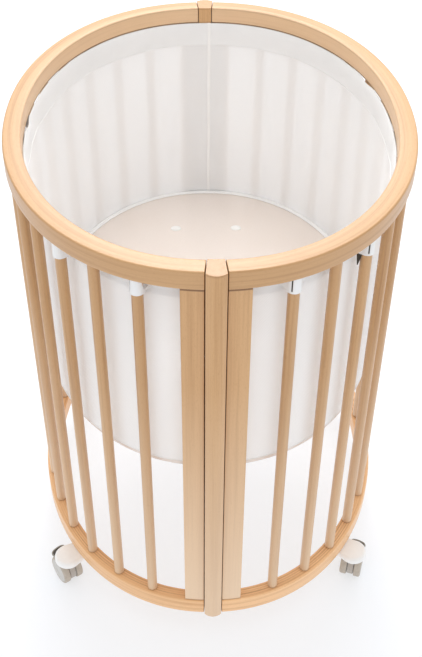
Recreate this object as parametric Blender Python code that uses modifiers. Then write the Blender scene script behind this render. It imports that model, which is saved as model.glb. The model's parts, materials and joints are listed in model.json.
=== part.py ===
"""Oval baby crib on four swivel casters.

Two half-oval wooden frames of rails and round spindles meet at a wedge-shaped post at each end.
A flat stile stands beside each post. An oval mattress board rests on a steel bracket at each end,
and a fabric liner hangs inside the top rail down to the board.

Frame: X across the crib, Y along it (front post at -Y), Z up. The origin is on the floor, under
the middle of the crib. All sizes are in metres.
"""

import math

import bmesh
import bpy

# Gap between pieces that touch.
GAP = 0.0003

# The oval frame.
HALF_WIDTH = 0.3355
HALF_LENGTH = 0.4215
PLAN_POWER = 2.1
FRAME_BOTTOM = 0.077
FRAME_HEIGHT = 0.800
FRAME_TOP = FRAME_BOTTOM + FRAME_HEIGHT

# Rails, as depth (outside to inside) and height.
TOP_RAIL_DEPTH = 0.030
TOP_RAIL_HEIGHT = 0.032
BOTTOM_RAIL_DEPTH = 0.025
BOTTOM_RAIL_HEIGHT = 0.035
RAIL_ROUNDING = 0.003
RAIL_STEPS = 30
BAY_BOTTOM = FRAME_BOTTOM + BOTTOM_RAIL_HEIGHT + GAP
BAY_TOP = FRAME_TOP - TOP_RAIL_HEIGHT - GAP

# End posts: a wedge, wider outside, with a bowed outer face.
POST_HALF_WIDTH_OUTSIDE = 0.0150
POST_HALF_WIDTH_INSIDE = 0.0120
POST_DEPTH = TOP_RAIL_DEPTH
POST_TAPER = (POST_HALF_WIDTH_OUTSIDE - POST_HALF_WIDTH_INSIDE) / POST_DEPTH
POST_EDGE_PROUD = 0.0020
POST_BOW = 0.0064
POST_BOW_STEPS = 8
POST_ROUNDING = 0.0018
JOINT_GAP = 0.0006

# Stiles beside the posts.
STILE_WIDTH = 0.035
STILE_FACE_INSET = 0.003
STILE_BACK_INSET = 0.029
STILE_ROUNDING = 0.0015
STILE_STEPS = 3

# Spindles, spaced evenly along the oval, with none at the middle of a side.
SPINDLE_RADIUS = 0.00875
SPINDLE_INSET = 0.014
SPINDLE_SIDES = 12
SPINDLES_PER_QUARTER = 7
FIRST_SPINDLE_DISTANCE = 0.1125
ARC_SAMPLES = 400

# Liner and mattress board.
LINER_OUTER_INSET = 0.0325
LINER_INNER_INSET = 0.0349
LINER_TOP = FRAME_TOP - 0.034
OVAL_STEPS = 56
BOARD_INSET = 0.037
BOARD_BOTTOM = FRAME_BOTTOM + 0.364
BOARD_THICKNESS = 0.014
BOARD_ROUNDING = 0.003
LINER_BOTTOM = BOARD_BOTTOM + GAP

# Steel brackets under the ends of the board, screwed to the stiles.
BRACKET_HALF_WIDTH = 0.046
BRACKET_BACK_INSET = TOP_RAIL_DEPTH + GAP
BRACKET_PLATE = 0.003
BRACKET_DROP = 0.045
BRACKET_LEG_INSET = 0.085
BRACKET_STEPS = 4

# Caster mounts: a round end outside the rail and an arm under the rail.
CASTER_ANGLE = math.radians(40.0)
CASTER_OUTSET = 0.0185
MOUNT_RADIUS = 0.0255
MOUNT_THICKNESS = 0.016
MOUNT_ARM_LENGTH = 0.048
MOUNT_ARM_HALF_WIDTH = 0.017
MOUNT_ARM_START = math.radians(112.0)
MOUNT_ROUNDING = 0.002
MOUNT_ARC_STEPS = 16
MOUNT_TOP = FRAME_BOTTOM - GAP
MOUNT_BOTTOM = MOUNT_TOP - MOUNT_THICKNESS
STEM_BORE_RADIUS = 0.0058
STEM_BORE_DEPTH = 0.012

# Casters: a yoke with a stem and an axle, and two wheels.
STEM_RADIUS = 0.005
STEM_TOP = MOUNT_BOTTOM + STEM_BORE_DEPTH - 0.001
YOKE_PLATE_RADIUS = 0.0165
YOKE_PLATE_TOP = MOUNT_BOTTOM - 0.0005
YOKE_PLATE_THICKNESS = 0.003
WHEEL_RADIUS = 0.028
WHEEL_WIDTH = 0.0134
WHEEL_INNER_FACE = 0.0068
WHEEL_BORE_RADIUS = 0.0036
WHEEL_BORE_DEPTH = 0.0114
WHEEL_STEPS = 24
TRAIL = 0.010
WEB_RADIUS = 0.0252
WEB_HALF_WIDTH = 0.00575
NECK_FRONT = -0.011
NECK_BACK = 0.0215
AXLE_RADIUS = 0.003
AXLE_HALF_LENGTH = 0.0177

# Brake pedals of the front casters, turned from the line of the wheels towards the outside.
PEDAL_TURN = math.radians(9.0)
PEDAL_PIVOT_BACK = 0.0205
PEDAL_UNDERSIDE = FRAME_BOTTOM - 0.0202
PEDAL_START = 0.0172
PEDAL_TIP_RADIUS = 0.0390
PEDAL_THICKNESS = 0.003
PEDAL_HALF_WIDTH = 0.016
PEDAL_ARC_STEPS = 10
PEDAL_ROUNDING = 0.0008
NECK_TOP = PEDAL_UNDERSIDE - 0.0006

# Where each caster stands (signs of X and Y), how far it has swivelled, and if it has a brake.
CASTERS = {
    "front_left": (-1, -1, math.radians(34.0), True),
    "front_right": (1, -1, math.radians(-18.0), True),
    "rear_left": (-1, 1, math.radians(-28.0), False),
    "rear_right": (1, 1, math.radians(40.0), False),
}

# Colour (linear RGB), roughness and metallic value of each material.
MATERIALS = {
    "beech": ((0.80, 0.58, 0.37), 0.45, 0.0),
    "board_laminate": ((0.78, 0.64, 0.54), 0.35, 0.0),
    "liner_fabric": ((0.86, 0.84, 0.82), 0.90, 0.0),
    "white_plastic": ((0.88, 0.86, 0.83), 0.40, 0.0),
    "grey_plastic": ((0.36, 0.33, 0.30), 0.45, 0.0),
    "wheel_rubber": ((0.40, 0.37, 0.34), 0.60, 0.0),
    "steel": ((0.55, 0.55, 0.56), 0.35, 1.0),
}


def clear_scene():
    for old in list(bpy.data.objects):
        bpy.data.objects.remove(old, do_unlink=True)


def new_collection(name):
    collection = bpy.data.collections.new(name)
    bpy.context.scene.collection.children.link(collection)
    return collection


def make_material(name):
    colour, roughness, metallic = MATERIALS[name]
    material = bpy.data.materials.new(name)
    material.use_nodes = True
    shader = material.node_tree.nodes["Principled BSDF"]
    shader.inputs["Base Color"].default_value = (*colour, 1.0)
    shader.inputs["Roughness"].default_value = roughness
    shader.inputs["Metallic"].default_value = metallic
    return material


def move_to(piece, collection):
    for old in list(piece.users_collection):
        old.objects.unlink(piece)
    collection.objects.link(piece)


def finish(piece, name, material):
    """Names a piece, gives it its own material, and puts it with the crib's parts."""
    piece.name = name
    piece.data.name = name
    piece.data.materials.clear()
    piece.data.materials.append(make_material(material))
    piece.data.shade_smooth()
    piece.data.set_sharp_from_angle(angle=math.radians(35.0))
    move_to(piece, parts)
    return piece


def round_edges(piece, width, segments=2):
    bevel = piece.modifiers.new("rounded_edges", "BEVEL")
    bevel.width = width
    bevel.segments = segments
    bevel.limit_method = "ANGLE"
    bevel.angle_limit = math.radians(40.0)


def combine(piece, tool, operation):
    """Joins the tool to the piece, or cuts it away, and files the tool with the cutters."""
    boolean = piece.modifiers.new(operation.lower(), "BOOLEAN")
    boolean.operation = operation
    boolean.solver = "EXACT"
    boolean.object = tool
    move_to(tool, cutters)
    tool.hide_render = True
    tool.display_type = "WIRE"


def plan_point(angle, inset):
    """Point of the frame's oval outline at an angle, moved inwards by inset."""
    across, along = math.cos(angle), math.sin(angle)
    x = HALF_WIDTH * math.copysign(abs(across) ** (2 / PLAN_POWER), across)
    y = HALF_LENGTH * math.copysign(abs(along) ** (2 / PLAN_POWER), along)
    normal_x = math.copysign(abs(x / HALF_WIDTH) ** (PLAN_POWER - 1), x) / HALF_WIDTH
    normal_y = math.copysign(abs(y / HALF_LENGTH) ** (PLAN_POWER - 1), y) / HALF_LENGTH
    length = math.hypot(normal_x, normal_y)
    return (x - inset * normal_x / length, y - inset * normal_y / length)


def front_angle_at(x, inset):
    """Angle in the front right quarter where the inset outline is x from the middle."""
    low, high = -math.pi / 2, 0.0
    for _ in range(50):
        middle = (low + high) / 2
        if plan_point(middle, inset)[0] < x:
            low = middle
        else:
            high = middle
    return (low + high) / 2


def arc_points(inset, start, stop, steps):
    return [plan_point(start + (stop - start) * k / steps, inset) for k in range(steps + 1)]


def sector_outline(outer_inset, inner_inset, outer_span, inner_span, steps):
    """Piece of the oval ring: along its outer face, and back along its inner face."""
    outer = arc_points(outer_inset, *outer_span, steps)
    inner = arc_points(inner_inset, *inner_span, steps)
    return outer + inner[::-1]


def mirrored(outline, sign_x, sign_y=1):
    return [(sign_x * x, sign_y * y) for x, y in outline]


def wedge_half_width(inset):
    """Half the width that the post takes up between the rails, at a depth."""
    return POST_HALF_WIDTH_OUTSIDE - POST_TAPER * inset + JOINT_GAP


def flat_shape(outlines, thickness):
    """Mesh object of a flat outline (and its holes), centred on Z, with its caps welded on."""
    curve = bpy.data.curves.new("outline", "CURVE")
    curve.dimensions = "2D"
    curve.fill_mode = "BOTH"
    curve.extrude = thickness / 2
    for outline in outlines:
        spline = curve.splines.new("POLY")
        spline.points.add(len(outline) - 1)
        for point, (x, y) in zip(spline.points, outline):
            point.co = (x, y, 0.0, 1.0)
        spline.use_cyclic_u = True
    source = bpy.data.objects.new("outline", curve)
    bpy.context.scene.collection.objects.link(source)
    evaluated = source.evaluated_get(bpy.context.evaluated_depsgraph_get())
    mesh = bpy.data.meshes.new_from_object(evaluated)
    bpy.data.objects.remove(source, do_unlink=True)
    body = bmesh.new()
    body.from_mesh(mesh)
    bmesh.ops.remove_doubles(body, verts=body.verts, dist=0.00005)
    bmesh.ops.recalc_face_normals(body, faces=body.faces)
    body.to_mesh(mesh)
    body.free()
    piece = bpy.data.objects.new("flat_shape", mesh)
    bpy.context.scene.collection.objects.link(piece)
    return piece


def slab(outlines, bottom, top):
    """Flat shape standing between two heights."""
    piece = flat_shape(outlines, top - bottom)
    piece.location.z = (bottom + top) / 2
    return piece


def turned(profile, steps):
    """Solid turned about Z from (radius, height) points that run from top to bottom."""
    mesh = bpy.data.meshes.new("profile")
    edges = [(k, k + 1) for k in range(len(profile) - 1)]
    mesh.from_pydata([(radius, 0.0, height) for radius, height in profile], edges, [])
    piece = bpy.data.objects.new("turned", mesh)
    bpy.context.scene.collection.objects.link(piece)
    screw = piece.modifiers.new("turn", "SCREW")
    screw.steps = steps
    screw.render_steps = steps
    screw.use_merge_vertices = True
    screw.merge_threshold = 0.00005
    return piece


def box(size, centre):
    bpy.ops.mesh.primitive_cube_add(size=1.0, location=centre)
    piece = bpy.context.object
    for vertex in piece.data.vertices:
        vertex.co = [c * s for c, s in zip(vertex.co, size)]
    return piece


def cylinder(radius, bottom, top, sides, centre=(0.0, 0.0)):
    bpy.ops.mesh.primitive_cylinder_add(
        vertices=sides,
        radius=radius,
        depth=top - bottom,
        location=(*centre, (bottom + top) / 2),
    )
    return bpy.context.object


def half_ring(sign_x, depth):
    """Outline of a half-oval rail from the front post to the rear post."""
    outer_end = front_angle_at(wedge_half_width(0.0), 0.0)
    inner_end = front_angle_at(wedge_half_width(depth), depth)
    outline = sector_outline(
        0.0, depth, (outer_end, -outer_end), (inner_end, -inner_end), RAIL_STEPS
    )
    return mirrored(outline, sign_x)


def make_rails():
    for side, sign_x in (("left", -1), ("right", 1)):
        top_outline = half_ring(sign_x, TOP_RAIL_DEPTH)
        top_rail = slab([top_outline], FRAME_TOP - TOP_RAIL_HEIGHT, FRAME_TOP)
        round_edges(top_rail, RAIL_ROUNDING)
        finish(top_rail, f"top_rail_{side}", "beech")
        bottom_outline = half_ring(sign_x, BOTTOM_RAIL_DEPTH)
        bottom_rail = slab([bottom_outline], FRAME_BOTTOM, FRAME_BOTTOM + BOTTOM_RAIL_HEIGHT)
        round_edges(bottom_rail, RAIL_ROUNDING)
        finish(bottom_rail, f"bottom_rail_{side}", "beech")


def post_outline():
    """Wedge outline of the front post, with its bowed face towards -Y."""
    corner_x = POST_HALF_WIDTH_OUTSIDE + POST_TAPER * POST_EDGE_PROUD
    corner_y = HALF_LENGTH + POST_EDGE_PROUD
    bow_radius = (corner_x**2 + POST_BOW**2) / (2 * POST_BOW)
    half_turn = math.asin(corner_x / bow_radius)
    bow_centre_y = corner_y + POST_BOW - bow_radius
    outline = [
        (POST_HALF_WIDTH_INSIDE, -(HALF_LENGTH - POST_DEPTH)),
        (-POST_HALF_WIDTH_INSIDE, -(HALF_LENGTH - POST_DEPTH)),
    ]
    for k in range(POST_BOW_STEPS + 1):
        turn = -half_turn + 2 * half_turn * k / POST_BOW_STEPS
        x = bow_radius * math.sin(turn)
        y = -(bow_centre_y + bow_radius * math.cos(turn))
        outline.append((x, y))
    return outline


def make_posts():
    for end, sign_y in (("front", 1), ("rear", -1)):
        post = slab([mirrored(post_outline(), 1, sign_y)], FRAME_BOTTOM, FRAME_TOP)
        round_edges(post, POST_ROUNDING)
        finish(post, f"end_post_{end}", "beech")


def make_stiles():
    face_start = front_angle_at(wedge_half_width(STILE_FACE_INSET), STILE_FACE_INSET)
    back_start = front_angle_at(wedge_half_width(STILE_BACK_INSET), STILE_BACK_INSET)
    stop = front_angle_at(wedge_half_width(STILE_FACE_INSET) + STILE_WIDTH, STILE_FACE_INSET)
    outline = sector_outline(
        STILE_FACE_INSET, STILE_BACK_INSET, (face_start, stop), (back_start, stop), STILE_STEPS
    )
    for end, sign_y in (("front", 1), ("rear", -1)):
        for side, sign_x in (("left", -1), ("right", 1)):
            stile = slab([mirrored(outline, sign_x, sign_y)], BAY_BOTTOM, BAY_TOP)
            round_edges(stile, STILE_ROUNDING, segments=1)
            finish(stile, f"stile_{end}_{side}", "beech")


def spindle_places():
    """Places of one quarter's spindles, evenly spaced by length along the oval."""
    points = arc_points(SPINDLE_INSET, -math.pi / 2, 0.0, ARC_SAMPLES)
    lengths = [0.0]
    for here, there in zip(points, points[1:]):
        lengths.append(lengths[-1] + math.dist(here, there))
    pitch = (lengths[-1] - FIRST_SPINDLE_DISTANCE) / (SPINDLES_PER_QUARTER - 0.5)
    places = []
    for k in range(SPINDLES_PER_QUARTER):
        wanted = FIRST_SPINDLE_DISTANCE + k * pitch
        index = next(i for i, length in enumerate(lengths) if length >= wanted)
        part = (wanted - lengths[index - 1]) / (lengths[index] - lengths[index - 1])
        (x0, y0), (x1, y1) = points[index - 1], points[index]
        places.append((x0 + part * (x1 - x0), y0 + part * (y1 - y0)))
    return places


def make_spindles():
    """Numbers the spindles of each half from the front post to the rear post."""
    front = spindle_places()
    rear = [(x, -y) for x, y in reversed(front)]
    for side, sign_x in (("left", -1), ("right", 1)):
        for number, (x, y) in enumerate(front + rear, start=1):
            centre = (sign_x * x, y)
            spindle = cylinder(SPINDLE_RADIUS, BAY_BOTTOM, BAY_TOP, SPINDLE_SIDES, centre)
            finish(spindle, f"spindle_{side}_{number:02d}", "beech")


def oval(inset, steps=OVAL_STEPS):
    return arc_points(inset, 0.0, 2 * math.pi, steps)[:-1]


def make_liner():
    outlines = [oval(LINER_OUTER_INSET), oval(LINER_INNER_INSET)]
    liner = slab(outlines, LINER_BOTTOM, LINER_TOP)
    finish(liner, "mesh_liner", "liner_fabric")


def make_board():
    board = slab([oval(BOARD_INSET)], BOARD_BOTTOM, BOARD_BOTTOM + BOARD_THICKNESS)
    round_edges(board, BOARD_ROUNDING, segments=1)
    finish(board, "mattress_board", "board_laminate")


def bracket_outline(inner_inset, sign_y):
    """Part of the oval across the end post, from the stiles' backs inwards."""
    back = front_angle_at(BRACKET_HALF_WIDTH, BRACKET_BACK_INSET)
    inner = front_angle_at(BRACKET_HALF_WIDTH, inner_inset)
    outline = sector_outline(
        BRACKET_BACK_INSET,
        inner_inset,
        (back, -math.pi - back),
        (inner, -math.pi - inner),
        BRACKET_STEPS,
    )
    return mirrored(outline, 1, sign_y)


def make_brackets():
    leg_top = BOARD_BOTTOM - GAP
    for end, sign_y in (("front", 1), ("rear", -1)):
        leg = slab([bracket_outline(BRACKET_LEG_INSET, sign_y)], leg_top - BRACKET_PLATE, leg_top)
        plate_outline = bracket_outline(BRACKET_BACK_INSET + BRACKET_PLATE, sign_y)
        plate = slab([plate_outline], leg_top - BRACKET_DROP, leg_top - BRACKET_PLATE / 2)
        combine(leg, plate, "UNION")
        finish(leg, f"board_bracket_{end}", "steel")


def mount_outline():
    """Round end about the origin and an arm towards -X."""
    outline = []
    for k in range(MOUNT_ARC_STEPS + 1):
        turn = -MOUNT_ARM_START + 2 * MOUNT_ARM_START * k / MOUNT_ARC_STEPS
        outline.append((MOUNT_RADIUS * math.cos(turn), MOUNT_RADIUS * math.sin(turn)))
    outline.append((-MOUNT_ARM_LENGTH, MOUNT_ARM_HALF_WIDTH))
    outline.append((-MOUNT_ARM_LENGTH, -MOUNT_ARM_HALF_WIDTH))
    return outline


def caster_place(sign_x, sign_y):
    """Swivel axis of a caster, and the direction in which its mount's arm points away."""
    rail_x, rail_y = plan_point(CASTER_ANGLE, 0.0)
    x, y = plan_point(CASTER_ANGLE, -CASTER_OUTSET)
    outwards = math.atan2(sign_y * (y - rail_y), sign_x * (x - rail_x))
    return sign_x * x, sign_y * y, outwards


def make_mount(name, sign_x, sign_y):
    x, y, outwards = caster_place(sign_x, sign_y)
    mount = slab([mount_outline()], MOUNT_BOTTOM, MOUNT_TOP)
    mount.location.x = x
    mount.location.y = y
    mount.rotation_euler.z = outwards
    round_edges(mount, MOUNT_ROUNDING)
    bore_top = MOUNT_BOTTOM + STEM_BORE_DEPTH
    bore = cylinder(STEM_BORE_RADIUS, MOUNT_BOTTOM - 0.002, bore_top, 16, (x, y))
    combine(mount, bore, "DIFFERENCE")
    finish(mount, f"caster_mount_{name}", "white_plastic")


def make_yoke(name, swivel):
    """Stem and top plate turned about Z, a web with the axle turned about X, and a neck."""
    plate_bottom = YOKE_PLATE_TOP - YOKE_PLATE_THICKNESS
    stem_profile = [
        (0.0, STEM_TOP),
        (STEM_RADIUS, STEM_TOP),
        (STEM_RADIUS, YOKE_PLATE_TOP),
        (YOKE_PLATE_RADIUS, YOKE_PLATE_TOP),
        (YOKE_PLATE_RADIUS, plate_bottom),
        (0.0, plate_bottom),
    ]
    yoke = turned(stem_profile, 16)
    yoke.parent = swivel
    web_profile = [
        (0.0, AXLE_HALF_LENGTH),
        (AXLE_RADIUS, AXLE_HALF_LENGTH),
        (AXLE_RADIUS, WEB_HALF_WIDTH),
        (WEB_RADIUS, WEB_HALF_WIDTH),
        (WEB_RADIUS, -WEB_HALF_WIDTH),
        (AXLE_RADIUS, -WEB_HALF_WIDTH),
        (AXLE_RADIUS, -AXLE_HALF_LENGTH),
        (0.0, -AXLE_HALF_LENGTH),
    ]
    web = turned(web_profile, 20)
    web.parent = swivel
    web.location = (0.0, TRAIL, WHEEL_RADIUS)
    web.rotation_euler.y = math.pi / 2
    neck_width = 2 * WEB_HALF_WIDTH - 0.0010
    neck_size = (neck_width, NECK_BACK - NECK_FRONT, NECK_TOP - WHEEL_RADIUS)
    neck = box(neck_size, (0.0, (NECK_FRONT + NECK_BACK) / 2, (NECK_TOP + WHEEL_RADIUS) / 2))
    neck.parent = swivel
    riser_bottom = NECK_TOP - 0.004
    riser_top = plate_bottom + 0.001
    riser = box((neck_width - 0.001, 0.020, riser_top - riser_bottom),
                (0.0, 0.0, (riser_top + riser_bottom) / 2))
    riser.parent = swivel
    combine(yoke, web, "UNION")
    combine(yoke, neck, "UNION")
    combine(yoke, riser, "UNION")
    finish(yoke, f"caster_yoke_{name}", "grey_plastic")


def make_wheel(name, side, sign, swivel):
    """Wheel turned about its axle, with a dished outer face and a blind bore for the axle."""
    half = WHEEL_WIDTH / 2
    bore_end = -half + WHEEL_BORE_DEPTH
    profile = [
        (0.0, half - 0.0008),
        (0.0195, half - 0.0008),
        (0.0215, half),
        (WHEEL_RADIUS - 0.0020, half),
        (WHEEL_RADIUS, half - 0.0020),
        (WHEEL_RADIUS, -half + 0.0010),
        (WHEEL_RADIUS - 0.0010, -half),
        (WHEEL_BORE_RADIUS, -half),
        (WHEEL_BORE_RADIUS, bore_end),
        (0.0, bore_end),
    ]
    wheel = turned(profile, WHEEL_STEPS)
    wheel.parent = swivel
    wheel.location = (sign * (WHEEL_INNER_FACE + half), TRAIL, WHEEL_RADIUS)
    wheel.rotation_euler.y = sign * math.pi / 2
    finish(wheel, f"caster_wheel_{name}_{side}", "wheel_rubber")


def make_pedal(name, turn_out, swivel):
    """Flat pedal with a tip round about the swivel; its origin is on the line on which it rocks."""
    half_turn = math.asin(PEDAL_HALF_WIDTH / PEDAL_TIP_RADIUS)
    start = PEDAL_START - PEDAL_PIVOT_BACK
    outline = [(PEDAL_HALF_WIDTH, start), (-PEDAL_HALF_WIDTH, start)]
    for k in range(PEDAL_ARC_STEPS + 1):
        turn = -half_turn + 2 * half_turn * k / PEDAL_ARC_STEPS
        tip_y = PEDAL_TIP_RADIUS * math.cos(turn) - PEDAL_PIVOT_BACK
        outline.append((PEDAL_TIP_RADIUS * math.sin(turn), tip_y))
    pedal = flat_shape([outline], PEDAL_THICKNESS)
    pedal.parent = swivel
    pedal.location = (
        -PEDAL_PIVOT_BACK * math.sin(turn_out),
        PEDAL_PIVOT_BACK * math.cos(turn_out),
        PEDAL_UNDERSIDE + PEDAL_THICKNESS / 2,
    )
    pedal.rotation_euler.z = turn_out
    round_edges(pedal, PEDAL_ROUNDING, segments=1)
    finish(pedal, f"brake_pedal_{name}", "grey_plastic")


def make_casters():
    for name, (sign_x, sign_y, swivelled, has_brake) in CASTERS.items():
        make_mount(name, sign_x, sign_y)
        x, y, _ = caster_place(sign_x, sign_y)
        swivel = bpy.data.objects.new(f"caster_swivel_{name}", None)
        parts.objects.link(swivel)
        swivel.location = (x, y, 0.0)
        swivel.rotation_euler.z = swivelled
        make_yoke(name, swivel)
        make_wheel(name, "left", -1, swivel)
        make_wheel(name, "right", 1, swivel)
        if has_brake:
            make_pedal(name, -sign_x * PEDAL_TURN, swivel)


clear_scene()
parts = new_collection("baby_crib")
cutters = new_collection("cutters")
make_rails()
make_posts()
make_stiles()
make_spindles()
make_liner()
make_board()
make_brackets()
make_casters()
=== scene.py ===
"""Looks of an oval baby crib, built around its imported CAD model.

The wood, fabric and plastic pieces made here stand where the CAD nodes stand, with finer shapes.
Frame: metres, X across the crib, Y along it (front post at -Y), Z up from the floor.
"""

import json
import math
import random

import bmesh
import bpy
from mathutils import Matrix, Vector


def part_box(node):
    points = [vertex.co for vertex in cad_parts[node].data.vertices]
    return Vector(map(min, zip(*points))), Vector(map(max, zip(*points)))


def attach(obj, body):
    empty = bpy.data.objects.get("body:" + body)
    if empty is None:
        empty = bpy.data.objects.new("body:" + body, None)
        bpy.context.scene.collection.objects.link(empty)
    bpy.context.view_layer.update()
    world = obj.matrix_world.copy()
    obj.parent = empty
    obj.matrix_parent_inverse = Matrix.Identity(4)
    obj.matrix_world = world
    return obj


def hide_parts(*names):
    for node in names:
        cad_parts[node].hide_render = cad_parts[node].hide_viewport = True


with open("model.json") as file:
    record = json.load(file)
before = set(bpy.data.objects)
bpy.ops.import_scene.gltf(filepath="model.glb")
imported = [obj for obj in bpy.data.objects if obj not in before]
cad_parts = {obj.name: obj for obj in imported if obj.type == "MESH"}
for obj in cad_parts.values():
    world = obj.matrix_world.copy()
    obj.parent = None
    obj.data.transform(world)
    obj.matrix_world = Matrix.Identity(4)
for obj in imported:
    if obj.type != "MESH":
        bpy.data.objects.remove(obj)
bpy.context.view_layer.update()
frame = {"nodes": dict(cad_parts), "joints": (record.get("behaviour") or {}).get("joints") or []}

RANDOM = random.Random(7)

# The oval plan, read from the frame. The posts stand a little proud of the oval.
POST_PROUD = 0.0084
PLAN_POWER = 2.1
HALF_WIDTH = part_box("top_rail_right")[1].x
HALF_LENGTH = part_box("end_post_rear")[1].y - POST_PROUD
FRAME_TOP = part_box("top_rail_right")[1].z

# Sides and ends of the crib, and sides of a caster, with the sign of their direction.
SIDES = (("left", -1), ("right", 1))
ENDS = (("front", -1), ("rear", 1))

# Rails.
TOP_RAIL_DEPTH = 0.030
TOP_RAIL_HEIGHT = FRAME_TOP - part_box("top_rail_right")[0].z
BOTTOM_RAIL_DEPTH = 0.025
LOW_RAIL_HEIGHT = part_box("bottom_rail_right")[1].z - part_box("bottom_rail_right")[0].z
RAIL_ROUNDING = 0.0030
RAIL_CORNER_STEPS = 5
RAIL_STEPS = 84
RAIL_END_CHAMFER = 0.0010
RAIL_END_GAP = 0.0005
POST_HALF_WIDTH_OUTSIDE = 0.0150
POST_HALF_WIDTH_INSIDE = 0.0120
POST_TAPER = (POST_HALF_WIDTH_OUTSIDE - POST_HALF_WIDTH_INSIDE) / TOP_RAIL_DEPTH
JOINT_GAP = 0.0006

# Stiles.
STILE_WIDTH = 0.035
STILE_FACE_INSET = 0.003
STILE_BACK_INSET = 0.029
STILE_ROUNDING = 0.0008
# A stile is painted dark in a band this high under the top rail: painted shadow. The gap beside
# the post also sets how high the painted shade at its foot reaches.
STILE_SHADOW = 0.0031
SHADOW_JOINT = 0.0010

# Spindles.
SPINDLE_RADIUS = 0.00875
SPINDLE_INSET = 0.014
SPINDLE_CHAMFER = 0.0009
SPINDLES_A_SIDE = 14
ROUND_SIDES = 36

# Liner: a mesh wall with a woven band at its top and a hem at its bottom. Both of its edges are
# a little higher than the CAD liner's. Straps pull it outwards near its top, and its top edge
# leans outwards.
LINER_INSET = 0.0335
LOW_EDGE_RAISED = 0.0125
TOP_EDGE_RAISED = 0.0042
LINER_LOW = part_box("mesh_liner")[0].z + LOW_EDGE_RAISED
LINER_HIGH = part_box("mesh_liner")[1].z + TOP_EDGE_RAISED
LINER_HEIGHT = LINER_HIGH - LINER_LOW
LINER_COLUMNS = 288
LINER_ROWS = 30
LINER_RIPPLE = 0.0007
RIPPLE_START = 0.05
FREE_HEIGHT = 0.08
LINER_PULL = 0.0010
PULL_START = 0.014
PULL_HEIGHT = 0.11
LINER_LEAN = 0.0021
LINER_LEAN_HEIGHT = 0.020
TOP_EDGING_RADIUS = 0.0007
TOP_EDGING_DOWN = 0.0006
RIPPLE_WAVES = (9, 17, 31)
BAND_HEIGHT = 0.045
BAND_FOLD = 0.006
BAND_HALF_THICKNESS = 0.0007
HEM_RADIUS = 0.0007
SEAM_X = 0.0080
SEAM_WIDTH = 0.0060
SEAM_HALF_THICKNESS = 0.0012
STITCH_RADIUS = 0.0004
STITCH_OFFSET = -0.0010

# Two places where the liner's top edge has come away from the rail: middle and half length.
SLACK_PLACES = ((-0.303, 0.014, 0.027), (0.284, 0.150, 0.024))
SLACK_DEPTH = 0.0027
SLACK_HEIGHT = 0.05

# Strap loops round the first, third and seventh spindle of each quarter. The slit is where a
# loop closes, over a near-black strip: painted shade in the slit.
STRAPPED_NUMBERS = (1, 3, 7, 8, 12, 14)
STRAPPED_SPINDLES = [f"{side}_{number:02d}" for side, _ in SIDES for number in STRAPPED_NUMBERS]
STRAP_HEIGHT = 0.0275
STRAP_ROWS = 8
STRAP_THICKNESS = 0.0012
STRAP_BEVEL = 0.0003
STRAP_DEGREES = range(78, -91, -3)
STRAP_RADIUS = SPINDLE_RADIUS + 0.0012
STRAP_FAR_FOOT = 0.029
STRAP_NEAR_FOOT = 0.0145
STRAP_SLIT = math.radians(-45.0)
STRAP_SLIT_HALF = math.radians(6.5)
STRAP_LIP = 0.0007
STRAP_FOOT_LIFT = 0.0012
STRAP_TOP = LINER_HIGH - 0.0024
# Height and radius of the near-black strip of painted shade behind each slit.
SLIT_SHADE_HEIGHT = 0.9 * STRAP_HEIGHT
SLIT_SHADE_RADIUS = SPINDLE_RADIUS + STRAP_THICKNESS / 2 + 0.0001

# Straps that gape beside their spindle, with the open part of their height, and near-black
# flaps of painted shade in the gaps, with the length that hangs. A flap narrows over the last part
# of its length.
GAPING_STRAPS = {"right_03": 0.60, "left_01": 0.80}
GAPE_DEGREES = (-58.0, -90.0)
GAP_SHADE_HANG = {"right_03": 0.0510}
GAP_SHADE_TOWARDS_POST = (0.0088, 0.0105)
GAP_SHADE_INWARDS = (0.0020, 0.0110)
GAP_SHADE_WIDTH = GAP_SHADE_INWARDS[1] - GAP_SHADE_INWARDS[0]
GAP_SHADE_NARROWS = 0.45

# Mattress board, its piping and its two plugs.
BOARD_INSET = 0.037
BOARD_LOW, BOARD_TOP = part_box("mattress_board")[0].z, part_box("mattress_board")[1].z
BOARD_STEPS = 160
BOARD_ROUNDING = 0.0025
PIPING_WIDTH = 0.0100
PIPING_THICKNESS = 0.0040
PIPING_INSET = 0.0346
PIPING_RAISED = 0.0011
PLUG_X = 0.0625
PLUG_Y = 0.250
PLUG_HALF_WIDTH = 0.0108
PLUG_HALF_LENGTH = 0.0082
PLUG_HEIGHT = 0.0014

# Casters.
CASTER_NAMES = ("front_left", "front_right", "rear_left", "rear_right")
DRUM_RADIUS = 0.0255
ARM_LENGTH = 0.048
ARM_HALF_WIDTH = 0.017
ARM_START = math.radians(112.0)
DRUM_ROUNDING = 0.0062
WHEEL_RADIUS = 0.028
WHEEL_HALF_WIDTH = 0.0067
WHEEL_INNER_FACE = 0.0068
TYRE_DEPTH = 0.0042
PEDAL_START = 0.0172
PEDAL_REACH = 0.0390
PEDAL_HALF_WIDTH = 0.0160
PEDAL_CORNER = 0.0090
PEDAL_RIM = 0.0026

# Bracket screws: distance from the middle, part of the bracket's height, and face they sit on.
SCREW_ACROSS = 0.030
SCREW_LEVELS = (("upper", 0.72), ("lower", 0.28))
BRACKET_FACE_INSET = 0.0335

# Camera, in metres, radians and millimetres. Yaw is to the right, pitch down.
CAMERA_PLACE = (-0.0384, -1.5068, 1.7517)
CAMERA_YAW = 0.0285
CAMERA_PITCH = 0.7043
CAMERA_ROLL = -0.0072
LENS = 57.17
SENSOR = 36.0
SHIFT_UP = -0.0434

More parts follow.
